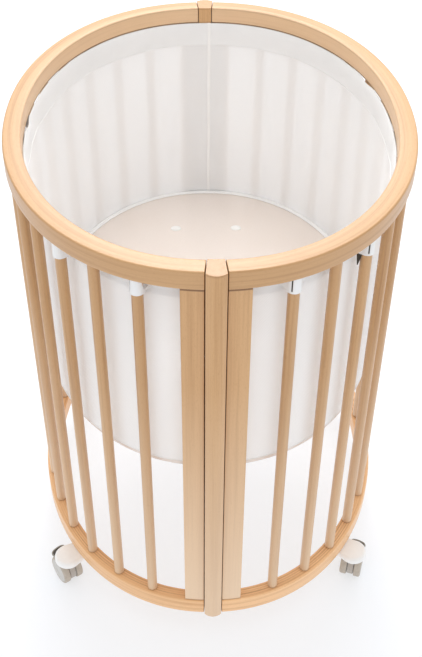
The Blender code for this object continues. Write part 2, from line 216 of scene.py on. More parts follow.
# Floor and light. Each area light has a place, a point it is aimed at, a size and a power.
FLOOR_SIZE = 24.0
FLOOR_MIDDLE = (0.0, 4.0, 0.0)
FLOOR_GLOW = 0.555
WHITE = (1.0, 1.0, 1.0, 1.0)
SKY_STRENGTH = (0.74, 1.0)
AREA_LIGHTS = {
    "back_softbox": ((0.0, 3.0, 3.8), (0.0, 0.0, 0.8), (3.0, 2.4), 76.0),
    "low_strip": ((0.0, 2.9, 3.60), (0.0, -0.1, 0.5), (1.0, 0.8), 44.0),
    "top_softbox": ((0.0, 0.9, 3.2), (0.0, 0.0, 0.4), (1.0, 1.0), 15.0),
}


# ---- plan of the oval


def plan_normal(x, y):
    """Outward unit normal of the oval near a point, as two numbers."""
    normal_x = math.copysign(abs(x / HALF_WIDTH) ** (PLAN_POWER - 1), x) / HALF_WIDTH
    normal_y = math.copysign(abs(y / HALF_LENGTH) ** (PLAN_POWER - 1), y) / HALF_LENGTH
    length = math.hypot(normal_x, normal_y)
    return normal_x / length, normal_y / length


def plan_point(angle, inset):
    """Point of the frame's oval outline at an angle, moved inwards by inset."""
    across, along = math.cos(angle), math.sin(angle)
    x = HALF_WIDTH * math.copysign(abs(across) ** (2 / PLAN_POWER), across)
    y = HALF_LENGTH * math.copysign(abs(along) ** (2 / PLAN_POWER), along)
    normal_x, normal_y = plan_normal(x, y)
    return (x - inset * normal_x, y - inset * normal_y)


def outward(spot):
    """Unit vector in plan out of the oval near a point."""
    return Vector(plan_normal(spot.x, spot.y))


def front_angle_at(x, inset):
    """Angle in the front right quarter where the inset outline is x from the middle."""
    low, high = -math.pi / 2, 0.0
    for _ in range(50):
        middle = (low + high) / 2
        low, high = (middle, high) if plan_point(middle, inset)[0] < x else (low, middle)
    return (low + high) / 2


def wedge_half_width(inset):
    """Half the width that the post takes up between the rails, at a depth."""
    return POST_HALF_WIDTH_OUTSIDE - POST_TAPER * inset + JOINT_GAP


def run_lengths(points):
    """Length along a path up to each of its points."""
    lengths = [0.0]
    for here, there in zip(points, points[1:]):
        lengths.append(lengths[-1] + math.dist(here, there))
    return lengths


def even_loop(inset, count, start_angle):
    """Angles of points evenly spaced by length round the oval, the first one repeated last, and
    the oval's length."""
    samples = 4000
    angles = [start_angle + 2 * math.pi * k / samples for k in range(samples + 1)]
    lengths = run_lengths([plan_point(angle, inset) for angle in angles])
    total = lengths[-1]
    found = []
    index = 1
    for k in range(count + 1):
        wanted = total * k / count
        while index < samples and lengths[index] < wanted:
            index += 1
        part = (wanted - lengths[index - 1]) / (lengths[index] - lengths[index - 1])
        found.append(angles[index - 1] + part * (angles[index] - angles[index - 1]))
    return found, total


# ---- meshes


def new_object(name, data):
    piece = bpy.data.objects.new(name, data)
    bpy.context.scene.collection.objects.link(piece)
    return piece


def circle(radius, sides=ROUND_SIDES):
    """Points (x, y) round a circle."""
    turns = [2 * math.pi * k / sides for k in range(sides)]
    return [(radius * math.cos(turn), radius * math.sin(turn)) for turn in turns]


def upright_rings(outline, heights):
    return [[(x, y, z) for x, y in outline] for z in heights]


def tidy_mesh(mesh, sharp_degrees):
    """No loose points, faces out, smooth shading, and sharp edges where faces meet steeply."""
    body = bmesh.new()
    body.from_mesh(mesh)
    loose = [vertex for vertex in body.verts if not vertex.link_faces]
    bmesh.ops.delete(body, geom=loose, context="VERTS")
    bmesh.ops.recalc_face_normals(body, faces=body.faces)
    body.to_mesh(mesh)
    body.free()
    mesh.shade_smooth()
    mesh.set_sharp_from_angle(angle=math.radians(sharp_degrees))


def skin(name, rings, grain=None, joint=None, closed=True, caps=False, looped=False,
         sharp_degrees=35.0, skipped=None):
    """Mesh object through rings of points. closed joins each ring's ends, looped the last ring
    to the first. grain holds a vector for each point: along the grain, and two ways across it.
    joint holds a number for each point: how much painted shade it gets, 1 where the piece meets
    another one. skipped holds the number of faces left out at the start of each strip between
    two rings."""
    count = len(rings[0])
    faces = []
    for i in range(len(rings) if looped else len(rings) - 1):
        j = (i + 1) % len(rings)
        for k in range(skipped[i] if skipped else 0, count if closed else count - 1):
            m = (k + 1) % count
            faces.append((i * count + k, i * count + m, j * count + m, j * count + k))
    if caps:
        faces.append(tuple(reversed(range(count))))
        faces.append(tuple((len(rings) - 1) * count + k for k in range(count)))
    mesh = bpy.data.meshes.new(name)
    mesh.from_pydata([point for ring in rings for point in ring], [], faces)
    if grain:
        attribute = mesh.attributes.new("grain", "FLOAT_VECTOR", "POINT")
        attribute.data.foreach_set("vector", [c for ring in grain for v in ring for c in v])
    if joint:
        attribute = mesh.attributes.new("joint", "FLOAT", "POINT")
        attribute.data.foreach_set("value", [value for ring in joint for value in ring])
    tidy_mesh(mesh, sharp_degrees)
    return new_object(name, mesh)


def add_bevel(piece, width, segments):
    bevel = piece.modifiers.new("rounded_edges", "BEVEL")
    bevel.width = width
    bevel.segments = segments
    bevel.limit_method = "ANGLE"
    bevel.angle_limit = math.radians(40.0)


def turned(name, profile, sides=ROUND_SIDES):
    """Lathed mesh about Z through (radius, height) points, with flat ends."""
    rings = [[(x, y, height) for x, y in circle(radius, sides)] for radius, height in profile]
    return skin(name, rings, caps=True)


def paint(piece, material):
    piece.data.materials.clear()
    piece.data.materials.append(material)


def dress(piece, material, body="root"):
    """Gives a piece its material and lets it ride on a body."""
    paint(piece, material)
    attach(piece, body)
    return piece


# ---- material nodes


def set_inputs(tree, node, inputs):
    """Gives a node's inputs their values, or links them to the sockets given."""
    for name, value in inputs.items():
        if isinstance(value, bpy.types.NodeSocket):
            tree.links.new(value, node.inputs[name])
        else:
            node.inputs[name].default_value = value


def add(tree, kind, inputs=None, **settings):
    """New node with its settings and inputs."""
    node = tree.nodes.new("ShaderNode" + kind)
    for name, value in settings.items():
        setattr(node, name, value)
    set_inputs(tree, node, inputs or {})
    return node


def new_material(name):
    material = bpy.data.materials.new(name)
    material.use_nodes = True
    return material, material.node_tree, material.node_tree.nodes["Principled BSDF"]


def math_node(tree, operation, first, second=0.0):
    return add(tree, "Math", {0: first, 1: second}, operation=operation).outputs[0]


def times(tree, first, second):
    return math_node(tree, "MULTIPLY", first, second)


def split(tree, vector):
    """The three parts of a vector."""
    return add(tree, "SeparateXYZ", {0: vector}).outputs


def own_place(tree):
    """Place in the object's own frame, which for the wood is the row frame."""
    return add(tree, "TexCoord").outputs["Object"]


def fit_range(tree, value, low, high, to_low=0.0, to_high=1.0):
    inputs = {"Value": value, "From Min": low, "From Max": high, "To Min": to_low,
              "To Max": to_high}
    return add(tree, "MapRange", inputs).outputs["Result"]


def noise(tree, place, scale, detail=2.0, roughness=0.5):
    """Noise with one scale, or with one for each axis."""
    scales = (scale,) * 3 if isinstance(scale, float) else scale
    vector = add(tree, "VectorMath", {0: place, 1: scales}, operation="MULTIPLY").outputs[0]
    inputs = {"Vector": vector, "Scale": 1.0, "Detail": detail, "Roughness": roughness}
    return add(tree, "TexNoise", inputs).outputs[0]


def mixed(tree, factor, first, second):
    return add(tree, "Mix", {0: factor, 6: first, 7: second}, data_type="RGBA").outputs[2]


def finish(tree, shader, tone, rough, height, distance, strength, **others):
    """Gives a shader its tone, roughness and bump, and other inputs, with _ for each space."""
    set_inputs(tree, shader, {"Base Color": tone, "Roughness": rough})
    set_inputs(tree, shader, {name.replace("_", " "): others[name] for name in others})
    inputs = {"Height": height, "Distance": distance, "Strength": strength}
    tree.links.new(add(tree, "Bump", inputs).outputs[0], shader.inputs["Normal"])


def object_place(tree):
    """Place in the object's own frame, shifted by a different amount for each object."""
    shift = times(tree, add(tree, "ObjectInfo").outputs["Random"], 37.0)
    return add(tree, "VectorMath", {0: own_place(tree), 1: shift}, operation="ADD").outputs[0]


def upright_grain(tree):
    """Grain along Z, for the pieces that stand upright."""
    x, y, z = split(tree, object_place(tree))
    return add(tree, "CombineXYZ", {0: z, 1: x, 2: y}).outputs[0]


def stored_grain(tree):
    """Grain that a piece's mesh stores at its points."""
    return add(tree, "Attribute", attribute_name="grain").outputs["Vector"]


# ---- materials

BEECH_LIGHT = (0.660, 0.400, 0.195)
BEECH_MIDDLE = (0.600, 0.350, 0.162)
BEECH_DARK = (0.430, 0.220, 0.088)
# Whitish tone that upright wood is painted towards near the floor: painted light from the floor.
FLOOR_LIGHT_TONE = (0.980, 0.775, 0.575, 1.0)
# Pale tone painted on a top rail's inner face: painted light.
INNER_FACE_LIGHT_TONE = (0.960, 0.700, 0.460, 1.0)
# Dark brown painted shade, for the joints and for the lines along the top rails' edges.
PAINTED_SHADE_BROWN = (0.165, 0.075, 0.026, 1.0)
LAMELLA_LINE = (0.300, 0.145, 0.055, 1.0)
# Heights where that painted floor light starts and where it is at full strength.
FLOOR_LIGHT_RANGE = (0.66, 0.12)
CLOTH_SHEEN = {"Sheen_Weight": 0.08, "Sheen_Roughness": 0.4}

# Painted shade lines on a top rail, at its inner lower edge where the liner starts and along its
# two upper edges: limits of the inset, limits of the height in the rail, and strength.
TOP_RAIL_SHADE_LINES = (
    ((TOP_RAIL_DEPTH - 0.0016, TOP_RAIL_DEPTH + 0.0010), (-0.0010, 0.0040), 0.70),
    ((TOP_RAIL_DEPTH - 0.0022, TOP_RAIL_DEPTH + 0.0010),
     (TOP_RAIL_HEIGHT - 0.0032, TOP_RAIL_HEIGHT), 0.22),
    ((0.0, 0.0024), (TOP_RAIL_HEIGHT - 0.0062, TOP_RAIL_HEIGHT - 0.0038), 0.28),
)

# Lamella lines on the upper face of a bottom rail: inset and strength.
LOW_RAIL_LINES = ((0.0062, 0.24), (0.0104, 0.50), (0.0150, 0.34), (0.0196, 0.55))
LOW_RAIL_LINE_HALF = 0.0007


def stripe(tree, value, start, stop):
    """1 where a value lies between two limits, 0 elsewhere."""
    above = math_node(tree, "GREATER_THAN", value, start)
    return times(tree, above, math_node(tree, "LESS_THAN", value, stop))


def top_rail_light_and_shade(tree, grain, tone):
    """Painted light and shade on a top rail: the inner face painted paler as if lit, the painted
    shadow line where the liner starts, and fine lines of painted shade along the two upper edges."""
    _, inset, up = split(tree, grain)
    # Inner face painted paler: painted light.
    inner_light = fit_range(tree, inset, TOP_RAIL_DEPTH - 0.0024, TOP_RAIL_DEPTH - 0.0010, 0.0, 0.52)
    tone = mixed(tree, inner_light, tone, INNER_FACE_LIGHT_TONE)
    # Lines of painted shade.
    for inset_limits, up_limits, strength in TOP_RAIL_SHADE_LINES:
        line = times(tree, stripe(tree, inset, *inset_limits), stripe(tree, up, *up_limits))
        tone = mixed(tree, times(tree, line, strength), tone, PAINTED_SHADE_BROWN)
    return tone


def low_rail_marks(tree, grain, tone):
    """Lamella lines of a bottom rail, which show in patches of its upper face."""
    _, inset, up = split(tree, grain)
    upper_face = math_node(tree, "GREATER_THAN", up, LOW_RAIL_HEIGHT - 0.0016)
    patches = noise(tree, grain, (5.0, 60.0, 60.0), detail=1.0)
    shown = times(tree, upper_face, fit_range(tree, patches, 0.40, 0.60, 0.2, 1.0))
    for middle, strength in LOW_RAIL_LINES:
        line = stripe(tree, inset, middle - LOW_RAIL_LINE_HALF, middle + LOW_RAIL_LINE_HALF)
        tone = mixed(tree, times(tree, times(tree, shown, line), strength), tone, LAMELLA_LINE)
    return tone


def post_marks(tree, _, tone):
    """Darker end grain at the top of a post, whatever its grain."""
    up = split(tree, own_place(tree))[2]
    end = fit_range(tree, up, FRAME_TOP - 0.0040, FRAME_TOP - 0.0025, 0.0, 0.50)
    return mixed(tree, end, tone, (*BEECH_DARK, 1.0))


def beech(name, grain_of, tint, figure=0.5, painted_floor_light=0.0, marks=None):
    """Lacquered beech: slow shifts of tone, growth lines along the grain, and short dark flecks.
    tint scales its colours, figure is how strong the growth lines are, and the foot setting how
    much paler it gets towards the floor: painted light from the floor. marks adds more. Where a
    mesh stores a joint it turns dark: painted shade where pieces meet."""
    material, tree, shader = new_material(name)
    grain = grain_of(tree)
    slow = noise(tree, grain, (1.1, 11.0, 11.0), detail=1.0)
    lines = noise(tree, grain, (2.6, 170.0, 170.0), detail=3.0, roughness=0.6)
    fine = noise(tree, grain, (18.0, 900.0, 900.0), detail=1.0)
    flecks = fit_range(tree, noise(tree, grain, (170.0, 1300.0, 1300.0), detail=0.0), 0.63, 0.72)
    light, middle, dark = ((*(t * c for t, c in zip(tint, colour)), 1.0)
                           for colour in (BEECH_LIGHT, BEECH_MIDDLE, BEECH_DARK))
    tone = mixed(tree, fit_range(tree, slow, 0.32, 0.68), light, middle)
    tone = mixed(tree, fit_range(tree, lines, 0.47, 0.72, 0.0, figure), tone, dark)
    tone = mixed(tree, fit_range(tree, fine, 0.45, 0.75, 0.0, 0.14), tone, dark)
    tone = mixed(tree, times(tree, flecks, 0.22), tone, dark)
    # Paler towards the floor: painted light from the floor.
    if painted_floor_light:
        pale = fit_range(tree, split(tree, own_place(tree))[2], *FLOOR_LIGHT_RANGE, 0.0, painted_floor_light)
        tone = mixed(tree, pale, tone, FLOOR_LIGHT_TONE)
    if marks:
        tone = marks(tree, grain, tone)
    # Painted shade where a piece meets another, from the joint numbers its mesh stores.
    joint = add(tree, "Attribute", attribute_name="joint").outputs["Fac"]
    tone = mixed(tree, times(tree, joint, 0.85), tone, PAINTED_SHADE_BROWN)
    rough = math_node(tree, "ADD", fit_range(tree, lines, 0.3, 0.8, 0.36, 0.46),
                      times(tree, flecks, 0.08))
    height = math_node(tree, "SUBTRACT", fine, flecks)
    finish(tree, shader, tone, rough, height, 0.00008, 0.5, Specular_IOR_Level=0.30,
           Coat_Weight=0.40, Coat_Roughness=0.40)
    return material


def laminate(name):
    """Board's smooth pale laminate: a faint cloudy tone, a soft gloss and a few scuffs."""
    material, tree, shader = new_material(name)
    place = object_place(tree)
    clouds = noise(tree, place, 5.0)
    specks = noise(tree, place, 650.0, detail=1.0)
    scuffs = noise(tree, place, (9.0, 60.0, 9.0), detail=3.0)
    tone = mixed(tree, fit_range(tree, clouds, 0.3, 0.7), (0.900, 0.808, 0.742, 1.0),
                 (0.870, 0.773, 0.702, 1.0))
    tone = mixed(tree, fit_range(tree, specks, 0.5, 0.8, 0.0, 0.10), tone,
                 (0.520, 0.410, 0.330, 1.0))
    rough = fit_range(tree, scuffs, 0.35, 0.8, 0.28, 0.38)
    finish(tree, shader, tone, rough, specks, 0.00003, 0.4, Coat_Weight=1.0, Coat_Roughness=0.16)
    return material


def threads(tree, weave, pitch):
    """Height of a plain weave: warp over weft in turn, from waves along both ways of the cloth."""
    turn = 2 * math.pi / pitch
    across, up = (math_node(tree, "SINE", times(tree, part, turn))
                  for part in split(tree, weave)[:2])
    return times(tree, across, up)


def darker(colour, part):
    """A colour at a part of its brightness."""
    return tuple(part * c for c in colour[:3]) + (1.0,)


def woven(name, colour, pitch=0.0011):
    """Closely woven cloth or tape, with a pitch for its threads."""
    material, tree, shader = new_material(name)
    weave = threads(tree, stored_grain(tree), pitch)
    clouds = noise(tree, object_place(tree), 16.0, detail=3.0)
    dark = darker(colour, 0.94)
    tone = mixed(tree, fit_range(tree, clouds, 0.25, 0.75, 0.0, 0.7), colour, dark)
    # Darker where the weave is low: painted shade in the hollows between threads.
    tone = mixed(tree, fit_range(tree, weave, -0.2, -1.0, 0.0, 0.5), tone, dark)
    finish(tree, shader, tone, 0.85, weave, 0.0002, 0.35, **CLOTH_SHEEN)
    return material


def open_mesh(name):
    """Fine warp-knit mesh: staggered little holes, and light that comes through the cloth."""
    material, tree, shader = new_material(name)
    weave = threads(tree, stored_grain(tree), 0.0030)
    clouds = noise(tree, object_place(tree), (7.0, 7.0, 3.0))
    tone = mixed(tree, fit_range(tree, clouds, 0.3, 0.7), (0.955, 0.957, 0.960, 1.0),
                 (0.935, 0.937, 0.940, 1.0))
    finish(tree, shader, tone, 0.9, weave, 0.0003, 0.4, **CLOTH_SHEEN)
    glow = add(tree, "BsdfTranslucent", {"Color": (0.95, 0.95, 0.95, 1.0)})
    lit = add(tree, "MixShader", {0: 0.05, 1: shader.outputs[0], 2: glow.outputs[0]})
    holes = fit_range(tree, weave, 0.20, 0.80, 0.02, 0.16)
    clear = add(tree, "BsdfTransparent")
    cloth = add(tree, "MixShader", {0: holes, 1: lit.outputs[0], 2: clear.outputs[0]})
    tree.links.new(cloth.outputs[0], tree.nodes["Material Output"].inputs["Surface"])
    return material


def plastic(name, colour, roughness):
    """Moulded plastic: a fine spark-eroded texture, uneven gloss and faint dust in the tone."""
    material, tree, shader = new_material(name)
    place = object_place(tree)
    fine = noise(tree, place, 1500.0)
    clouds = noise(tree, place, 45.0, detail=3.0)
    dust = fit_range(tree, clouds, 0.35, 0.75, 0.0, 0.5)
    rough = fit_range(tree, clouds, 0.3, 0.7, roughness - 0.05, roughness + 0.07)
    tone = mixed(tree, dust, colour, darker(colour, 0.90))
    finish(tree, shader, tone, rough, fine, 0.00004, 0.5)
    return material


def rubber(name):
    """Soft tread: a matt warm grey, scuffed paler where it runs."""
    material, tree, shader = new_material(name)
    place = object_place(tree)
    scuffs = noise(tree, place, 160.0, detail=4.0, roughness=0.7)
    fine = noise(tree, place, 2200.0, detail=1.0)
    tone = mixed(tree, fit_range(tree, scuffs, 0.4, 0.75), (0.500, 0.440, 0.370, 1.0),
                 (0.600, 0.535, 0.460, 1.0))
    rough = fit_range(tree, scuffs, 0.3, 0.8, 0.55, 0.75)
    finish(tree, shader, tone, rough, fine, 0.00005, 0.6)
    return material


def zinc(name):
    """Zinc-plated steel: brushed along X, with a cloudy gloss."""
    material, tree, shader = new_material(name)
    place = object_place(tree)
    brushed = noise(tree, place, (12.0, 900.0, 900.0))
    clouds = noise(tree, place, 60.0)
    tone = mixed(tree, clouds, (0.62, 0.62, 0.63, 1.0), (0.50, 0.51, 0.53, 1.0))
    rough = fit_range(tree, brushed, 0.3, 0.7, 0.28, 0.42)
    finish(tree, shader, tone, rough, brushed, 0.00003, 0.4, Metallic=1.0)
    return material


# ---- wood


def rail_section(depth, height, shrink=0.0):
    """Rounded rectangle of (inset, height) points, optionally shrunk on every side."""
    rounding = RAIL_ROUNDING - shrink / 2
    near = shrink + rounding
    far, high = depth - near, height - near
    points = []
    for quarter, (inset, up) in enumerate(((far, high), (near, high), (near, near), (far, near))):
        for k in range(RAIL_CORNER_STEPS + 1):
            turn = math.pi / 2 * (quarter + k / RAIL_CORNER_STEPS)
            points.append((inset + rounding * math.cos(turn), up + rounding * math.sin(turn)))
    return points


def make_rail(node, sign_x, depth, material):
    """Half-oval rail swept from the front post to the rear post, with chamfered ends, darkened
    with painted shade where they meet the posts.
    """
    low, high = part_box(node)
    full = rail_section(depth, high.z - low.z)
    small = rail_section(depth, high.z - low.z, RAIL_END_CHAMFER)
    length = math.pi * (HALF_WIDTH + HALF_LENGTH) / 2
    chamfer_part = RAIL_END_CHAMFER / length
    parts = [0.0, chamfer_part]
    parts += [k / RAIL_STEPS for k in range(1, RAIL_STEPS)]
    parts += [1.0 - chamfer_part, 1.0]
    shift = RANDOM.uniform(0.0, 50.0)
    rings, grain, joint = [], [], []
    for part in parts:
        at_end = part in (0.0, 1.0)
        section = small if at_end else full
        ring = []
        for inset, up in section:
            start = front_angle_at(wedge_half_width(inset) + RAIL_END_GAP, inset)
            x, y = plan_point(start * (1.0 - 2.0 * part), inset)
            ring.append((sign_x * x, y, low.z + up))
        rings.append(ring)
        grain.append([(length * part + shift, inset, up) for inset, up in section])
        # Painted shade on the end rings, where the rail meets the posts.
        joint.append([float(at_end)] * len(ring))
    piece = skin(f"wood_{node}", rings, grain, joint, caps=True)
    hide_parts(node)
    dress(piece, material)


def make_spindle(node, material):
    """Round spindle with a small chamfer at each end, where it meets the rails, darkened there
    with painted contact shade.
    """
    low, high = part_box(node)
    centre = (low + high) / 2
    radius = SPINDLE_RADIUS
    # Rings of radius, height and painted contact shade, which is dark at the two ends.
    profile = [
        (radius - SPINDLE_CHAMFER, low.z, 1.0),
        (radius, low.z + 1.4 * SPINDLE_CHAMFER, 0.5),
        (radius, low.z + 3.4 * SPINDLE_CHAMFER, 0.0),
        (radius, centre.z, 0.0),
        (radius, high.z - 3.4 * SPINDLE_CHAMFER, 0.0),
        (radius, high.z - 1.4 * SPINDLE_CHAMFER, 0.5),
        (radius - SPINDLE_CHAMFER, high.z, 1.0),
    ]
    shift = RANDOM.uniform(0.0, 50.0)
    rings, grain = [], []
    for ring_radius, z, _ in profile:
        points = circle(ring_radius)
        rings.append([(centre.x + x, centre.y + y, z) for x, y in points])
        grain.append([(z + shift, x + shift, y + shift) for x, y in points])
    joint = [[joint_shade] * ROUND_SIDES for _, _, joint_shade in profile]
    piece = skin(f"wood_{node}", rings, grain, joint, caps=True)
    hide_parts(node)
    dress(piece, material)


def make_stile(node, sign_x, sign_y, material):
    """Flat stile beside a post, with painted shade in its joints with the post and the rails."""
    low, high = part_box(node)
    stop = front_angle_at(wedge_half_width(STILE_FACE_INSET) + STILE_WIDTH, STILE_FACE_INSET)
    parts = [0.0, 0.03] + [k / 8 for k in range(1, 9)]
    outline, by_post = [], []
    for inset, order in ((STILE_FACE_INSET, 1), (STILE_BACK_INSET, -1)):
        start = front_angle_at(wedge_half_width(inset) + SHADOW_JOINT, inset)
        outline += [plan_point(start + (stop - start) * part, inset) for part in parts][::order]
        by_post += [float(part == 0.0) for part in parts][::order]
    # Heights with their painted shade: at the foot, and in a band under the top rail.
    levels = (
        (low.z, 1.0),
        (low.z + SHADOW_JOINT, 0.7),
        (low.z + 2 * SHADOW_JOINT, 0.0),
        (high.z - STILE_SHADOW - SHADOW_JOINT, 0.0),
        (high.z - STILE_SHADOW, 0.9),
        (high.z, 1.0),
    )
    rings = upright_rings([(sign_x * x, -sign_y * y) for x, y in outline], [z for z, _ in levels])
    joint = [[max(beside, joint_shade) for beside in by_post] for _, joint_shade in levels]
    piece = skin(f"wood_{node}", rings, joint=joint, caps=True)
    add_bevel(piece, STILE_ROUNDING, 3)
    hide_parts(node)
    dress(piece, material)


def make_wood():
    top_wood = beech("beech_top_rail", stored_grain, (0.98, 0.98, 0.98), figure=0.62,
                     marks=top_rail_light_and_shade)
    # The bottom rails' beech is a much brighter, paler copy of the top rails': painted light from
    # the floor.
    low_wood = beech("beech_bottom_rail", stored_grain, (1.51, 1.56, 1.70), figure=0.80,
                     marks=low_rail_marks)
    # The spindles' beech is tinted a little darker: painted shade under the top rail.
    round_wood = beech("beech_spindle", stored_grain, (0.95, 0.94, 0.92), 0.6, painted_floor_light=0.42)
    flat_wood = beech("beech_stile", upright_grain, (1.06, 1.06, 1.06), painted_floor_light=0.66)
    post_wood = beech("beech_post", upright_grain, (1.02, 1.01, 0.98), painted_floor_light=0.55,
                      marks=post_marks)
    for side, sign_x in SIDES:
        make_rail(f"top_rail_{side}", sign_x, TOP_RAIL_DEPTH, top_wood)
        make_rail(f"bottom_rail_{side}", sign_x, BOTTOM_RAIL_DEPTH, low_wood)
        for number in range(1, SPINDLES_A_SIDE + 1):
            make_spindle(f"spindle_{side}_{number:02d}", round_wood)
    for end, sign_y in ENDS:
        paint(frame["nodes"][f"end_post_{end}"], post_wood)
        for side, sign_x in SIDES:
            make_stile(f"stile_{end}_{side}", sign_x, sign_y, flat_wood)


# ---- liner


def spindle_middle(place):
    low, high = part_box(f"spindle_{place}")
    return ((low + high) / 2).xy


def strap_lengths(angles, total):
    """Distances along the liner at which the straps hold it."""
    held = []
    for place in STRAPPED_SPINDLES:
        middle = spindle_middle(place)
        gaps = [math.dist(plan_point(angle, LINER_INSET), middle) for angle in angles[:-1]]
        held.append(total * gaps.index(min(gaps)) / LINER_COLUMNS)
    return sorted(held)


class Liner:
    """Shape of the liner's cloth: where a point of the flat cloth hangs."""

    def __init__(self):
        seam_angle = -front_angle_at(SEAM_X, LINER_INSET)
        self.angles, self.total = even_loop(LINER_INSET, LINER_COLUMNS, seam_angle)
        self.held = strap_lengths(self.angles, self.total)
        self.phases = [RANDOM.uniform(0.0, 2 * math.pi) for _ in RIPPLE_WAVES]

    def gap_part(self, length):
        """How far a length is through the gap between two straps."""
        for here, there in zip(self.held, self.held[1:] + self.held[:1]):
            span, run = (there - here) % self.total, (length - here) % self.total
            if run <= span:
                return run / span
        return 0.0

    def place(self, column, down, offset=0.0):
        """Point at a column, down metres under the top edge, moved outwards by offset."""
        length = self.total * column / LINER_COLUMNS
        near_top = max(0.0, 1.0 - down / PULL_HEIGHT) ** 2 * min(1.0, down / PULL_START)
        gap_part = self.gap_part(length)
        pull = LINER_PULL * (2.0 * math.cos(math.pi * gap_part) ** 8 - 0.6) * near_top
        pull += LINER_LEAN * max(0.0, 1.0 - down / LINER_LEAN_HEIGHT) ** 2
        turn = 2 * math.pi * length / self.total
        broad, middle, fine = (
            waves * turn + phase for waves, phase in zip(RIPPLE_WAVES, self.phases))
        ripple = math.sin(broad) + math.sin(middle) + 0.7 * math.sin(fine + 5.0 * down)
        free = min(1.0, (LINER_HEIGHT - down) / FREE_HEIGHT)
        ripple *= LINER_RIPPLE * (0.35 + 0.65 * free) * min(1.0, down / RIPPLE_START)
        angle = self.angles[column]
        slack = self.slack(*plan_point(angle, LINER_INSET), down)
        x, y = plan_point(angle, LINER_INSET - pull - offset + ripple + slack)
        return (x, y, LINER_HIGH - down - 0.4 * slack)

    def slack(self, x, y, down):
        """How far the cloth has come away from the rail at a place."""
        for middle_x, middle_y, half_length in SLACK_PLACES:
            away = math.hypot(x - middle_x, y - middle_y) / half_length
            if away < 1.0:
                fade = max(0.0, 1.0 - down / SLACK_HEIGHT)
                return SLACK_DEPTH * (0.5 + 0.5 * math.cos(math.pi * away)) * fade
        return 0.0

    def cloth(self, name, profile, material):
        """Strip round the oval with a profile of (down, offset) points."""
        runs = run_lengths(profile)
        rings, grain = [], []
        for column in range(LINER_COLUMNS + 1):
            rings.append([self.place(column, down, offset) for down, offset in profile])
            grain.append([(self.total * column / LINER_COLUMNS, run, 0.0) for run in runs])
        piece = skin(name, rings, grain, closed=False, sharp_degrees=80.0)
        return dress(piece, material)

    def ring(self, name, down, offset, radius, material):
        """Round thread, piping or roll along the cloth."""
        points = circle(radius, 10)
        profile = [(down + x, offset + y) for x, y in points + points[:1]]
        return self.cloth(name, profile, material)


def fold_profile(outside, inside, half):
    """Tape folded over an edge: up the outside, over a round fold, and down the inside. outside
    and inside are the two lengths, and half is half the fold's thickness."""
    steps = 6
    turns = [math.pi * k / steps for k in range(steps + 1)]
    rise = [(outside + (half - outside) * k / steps, half) for k in range(steps)]
    fold = [(half * (1.0 - math.sin(turn)), half * math.cos(turn)) for turn in turns]
    fall = [(half + (inside - half) * k / steps, -half) for k in range(1, steps + 1)]
    return rise + fold + fall


def make_seam(liner, material):
    """Flat felled seam that closes the liner at its rear end."""
    half, thick = SEAM_WIDTH / 2, SEAM_HALF_THICKNESS
    upper = [(-half, thick / 2), (-0.8 * half, thick), (0.8 * half, thick), (half, thick / 2)]
    section = upper + [(across, -out) for across, out in reversed(upper)]
    steps = 40
    rings, grain = [], []
    for k in range(steps + 1):
        down = LINER_HEIGHT * k / steps
        spot = Vector(liner.place(0, down))
        normal = outward(spot)
        along = Vector((-normal.y, normal.x))
        rings.append([(*(spot.xy + along * across + normal * out), spot.z)
                      for across, out in section])
        grain.append([(down, across, out) for across, out in section])
    piece = skin("liner_seam", rings, grain, caps=True)
    return dress(piece, material)


def strap_columns(away, open_part):
    """Path of a strap round its spindle, from its foot away from the post to its foot beside the
    post: (along, out, top, bottom, slit), where top and bottom are parts of the strap's height,
    and slit is the number of rows cut open from the top."""
    foot = SPINDLE_INSET - LINER_INSET + STRAP_FOOT_LIFT
    columns = [
        (STRAP_FAR_FOOT, foot, 0.0, 1.10, 0),
        (STRAP_FAR_FOOT * 0.78, foot + 0.0030, 0.0, 1.06, 0),
        (STRAP_FAR_FOOT * 0.56, foot + 0.0085, 0.0, 1.02, 0),
    ]
    gape_start, gape_stop = GAPE_DEGREES
    for degrees in STRAP_DEGREES:
        turn = math.radians(degrees)
        top = open_part * max(0.0, (gape_start - degrees) / (gape_start - gape_stop))
        slit = STRAP_ROWS - 1 if abs(turn * away - STRAP_SLIT) < STRAP_SLIT_HALF else 0
        place = (STRAP_RADIUS * math.sin(turn), STRAP_RADIUS * math.cos(turn))
        columns.append((*place, top, 1.0, slit))
    columns.append((-STRAP_NEAR_FOOT + 0.0030, foot + 0.0050, open_part, 1.0, 0))
    columns.append((-STRAP_NEAR_FOOT, foot, open_part, 1.0, 0))
    return [(away * along, *rest) for along, *rest in columns]


def sewn_strip(name, columns, grain, material, skipped=None):
    """Thin strip of cloth, or of near-black cloth for painted shade, through columns of points."""
    strip = skin(name, columns, grain, closed=False, sharp_degrees=60.0, skipped=skipped)
    solid = strip.modifiers.new("thickness", "SOLIDIFY")
    solid.thickness = STRAP_THICKNESS
    solid.offset = 0.0
    add_bevel(strip, STRAP_BEVEL, 2)
    return dress(strip, material)


